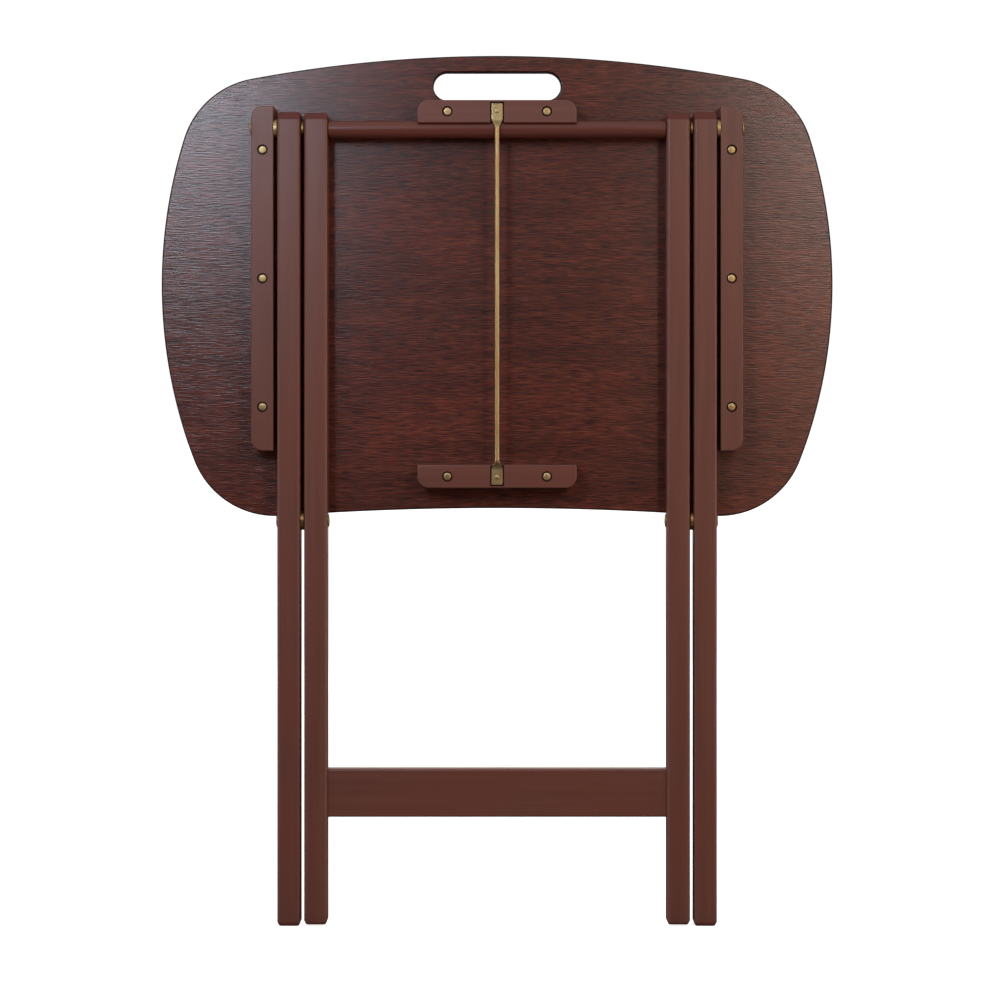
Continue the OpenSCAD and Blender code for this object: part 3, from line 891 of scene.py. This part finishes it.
make_crossbar()
make_stretcher()
dowel_zs = [middle_of(f"stretcher_dowel_right_{i}").z for i in (1, 2)]
for side, sign in SIDES.items():
    make_leg("outer", side, f"{side}_outer_leg",
             [(PIVOT_LINE.z, BOLT_HOLE_R), (MID_LINE.z, BOLT_HOLE_R)], [])
    make_leg("inner", side, "inner_frame", [(MID_LINE.z, BOLT_HOLE_R)],
             [(BAR_LINE.z, TENON_R + HOLE_ROOM, TENON_L + MM)]
             + [(z, DOWEL_R + HOLE_ROOM, DOWEL_BITE) for z in dowel_zs])
    make_bolt(f"top_pivot_bolt_{side}", "tray", sign, BRASS)
    make_bolt(f"middle_pivot_bolt_{side}", f"{side}_outer_leg", sign, DULL_BRASS)
    make_bolt(f"middle_pivot_nut_{side}", "inner_frame", -sign, DULL_BRASS)
    make_ring(f"top_pivot_spacer_{side}", "tray", BRIGHT_BRASS)
    make_ring(f"top_pivot_cap_{side}", "tray", DULL_BRASS)
    make_ring(f"middle_pivot_washer_{side}", f"{side}_outer_leg", DULL_BRASS)

for name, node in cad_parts.items():
    if name.startswith("stretcher_dowel"):  # hidden in the wood, so the CAD shape stays
        node.data.materials.clear()
        node.data.materials.append(PLAIN_WOOD)


# ---- floor, light and camera ----

# ambient light: (direction it is brightest from, strength, colour). The front and the back have a dark
# patch in their middle, so that the tray's flat faces mirror nothing pale.
AMBIENT = {
    "front": ((0, -1, 0), 1.0, (1, 1, 1, 1)),
    "left": ((-1, 0, 0), 0.3, (1, 1, 1, 1)),
    "right": ((1, 0, 0), 0.35, (1, 0.8, 0.7, 1)),
    "above": ((0, 0, 1), 0.45, (1, 1, 1, 1)),
    "behind": ((0, 1, 0), 1.0, (1, 1, 1, 1)),
}
DARK_PATCH = (math.cos(math.radians(40)), math.cos(math.radians(20)))  # its outer and inner edges
AMBIENT_BELOW = 0.4  # share of the ambient light that comes up from the floor
HORIZON = (-0.2, 0.2)  # heights of a unit direction between which that share changes to the whole
BACKDROP = 1.05  # a little over white, so that the backdrop stays white
FLOOR_GLOW = 0.75

# area lights: (place, what it points at, size, power, colour)
LIGHTS = {
    "sheen_left": ((-0.42, -1.0, 0.96), (-0.25, 0, 0.65), (0.2, 0.45), 4.4, (0.73, 0.86, 1)),
    "sheen_right": ((0.52, -1.19, 0.95), (0.3, 0, 0.65), (0.2, 0.4), 2.7, (0.98, 0.85, 0.75)),
    "glow_right": ((0.52, -1.19, 0.42), (0.3, 0, 0.4), (0.2, 0.5), 0.9, (1, 0.5, 0.33)),
    "edge_left": ((-2.2, -0.25, 0.5), (0, 0, 0.45), (0.3, 1.4), 7, (1, 0.86, 0.8)),
    "edge_right": ((2.2, -0.25, 0.5), (0, 0, 0.45), (0.3, 1.4), 14, (1, 0.72, 0.58)),
    "low_behind": ((0, 2.2, 0.45), (0, 0, 0.15), (2.4, 0.4), 6, (1, 0.9, 0.8)),
    "tray_top": ((1.0, 2.0, 2.2), (0, 0, 0.5), (1.2, 1.2), 30, (1, 1, 1)),
}


def pale_floor():
    n = Nodes("pale_floor")
    fleck = n.noise((3, 3, 3), detail=2.0)
    n.set(Base_Color=n.mix(fleck, (0.82, 0.82, 0.82, 1), (0.84, 0.84, 0.84, 1)), Roughness=0.9,
          Emission_Color=(1, 1, 1, 1), Emission_Strength=FLOOR_GLOW)
    return n.material


def make_floor():
    """A wide disc just under the feet."""
    radius, z, steps = 30, -0.2 * MM, 96
    bm = bmesh.new()
    rim = add_ring(bm, [(radius * math.cos(t), radius * math.sin(t), z)
                        for t in (2 * math.pi * i / steps for i in range(steps))])
    bm.faces.new(rim)
    floor = new_object("floor", bm)
    floor.data.materials.append(pale_floor())
    floor.visible_diffuse = False
    floor.visible_glossy = False


def soft_light(name, place, aim, size, power, colour):
    light = bpy.data.lights.new(name, "AREA")
    light.shape = "RECTANGLE"
    light.size, light.size_y = size
    light.energy = power
    light.color = colour
    lamp = bpy.data.objects.new(name, light)
    lamp.location = place
    lamp.rotation_euler = (Vector(aim) - Vector(place)).to_track_quat("-Z", "Y").to_euler()
    lamp.visible_camera = False
    bpy.context.scene.collection.objects.link(lamp)


def make_world():
    """White to the camera. For light, the sum of wide lobes round the ambient directions."""
    world = bpy.data.worlds.new("studio")
    bpy.context.scene.world = world
    world.use_nodes = True
    tree = world.node_tree
    tree.nodes.clear()

    def add(kind, operation=None, **inputs):
        """A node whose inputs are given by number: i0, i1 and so on. Returns its first output."""
        node = tree.nodes.new(kind)
        if operation:
            node.operation = operation
        for key, value in inputs.items():
            socket = node.inputs[int(key[1:])]
            if isinstance(value, bpy.types.NodeSocket):
                tree.links.new(value, socket)
            else:
                socket.default_value = value
        return node.outputs[0] if node.outputs else node

    view = add("ShaderNodeTexCoord")
    up = add("ShaderNodeVectorMath", "DOT_PRODUCT", i0=view, i1=(0, 0, 1)).node.outputs["Value"]
    above = add("ShaderNodeMapRange", i0=up, i1=HORIZON[0], i2=HORIZON[1], i3=AMBIENT_BELOW, i4=1.0)
    total = None
    for towards, strength, colour in AMBIENT.values():
        facing = add("ShaderNodeVectorMath", "DOT_PRODUCT", i0=view, i1=towards).node.outputs["Value"]
        facing = add("ShaderNodeMath", "MAXIMUM", i0=facing, i1=0.0)
        narrow = facing  # the lobe is the cosine, times itself or times the patch
        if towards[1]:
            outer, inner = DARK_PATCH
            narrow = add("ShaderNodeMapRange", i0=facing, i1=outer, i2=inner, i3=1.0, i4=0.0)
        lobe = add("ShaderNodeMath", "MULTIPLY", i0=facing, i1=narrow)
        lobe = add("ShaderNodeMath", "MULTIPLY", i0=lobe, i1=strength)
        lobe = add("ShaderNodeMath", "MULTIPLY", i0=lobe, i1=above)
        glow = add("ShaderNodeBackground", i0=colour, i1=lobe)
        total = glow if total is None else add("ShaderNodeAddShader", i0=total, i1=glow)
    white = add("ShaderNodeBackground", i0=(1, 1, 1, 1), i1=BACKDROP)
    camera_ray = add("ShaderNodeLightPath")
    add("ShaderNodeOutputWorld", i0=add("ShaderNodeMixShader", i0=camera_ray, i1=total, i2=white))


def make_camera():
    """Square to the tray and level with its lower half, with the view shifted down to take in the feet."""
    data = bpy.data.cameras.new("camera")
    data.sensor_width = 36.0
    data.lens = 87.8328
    data.shift_y = -0.089
    data.clip_end = 100
    camera = bpy.data.objects.new("camera", data)
    camera.location = (0.0025, -2.1, 0.44)
    camera.rotation_euler = (math.pi / 2, 0, 0)
    bpy.context.scene.collection.objects.link(camera)
    bpy.context.scene.camera = camera


make_floor()
make_world()
for name, (place, aim, size, power, colour) in LIGHTS.items():
    soft_light(name, place, aim, size, power, colour)
make_camera()
bpy.context.scene.view_settings.view_transform = "Standard"
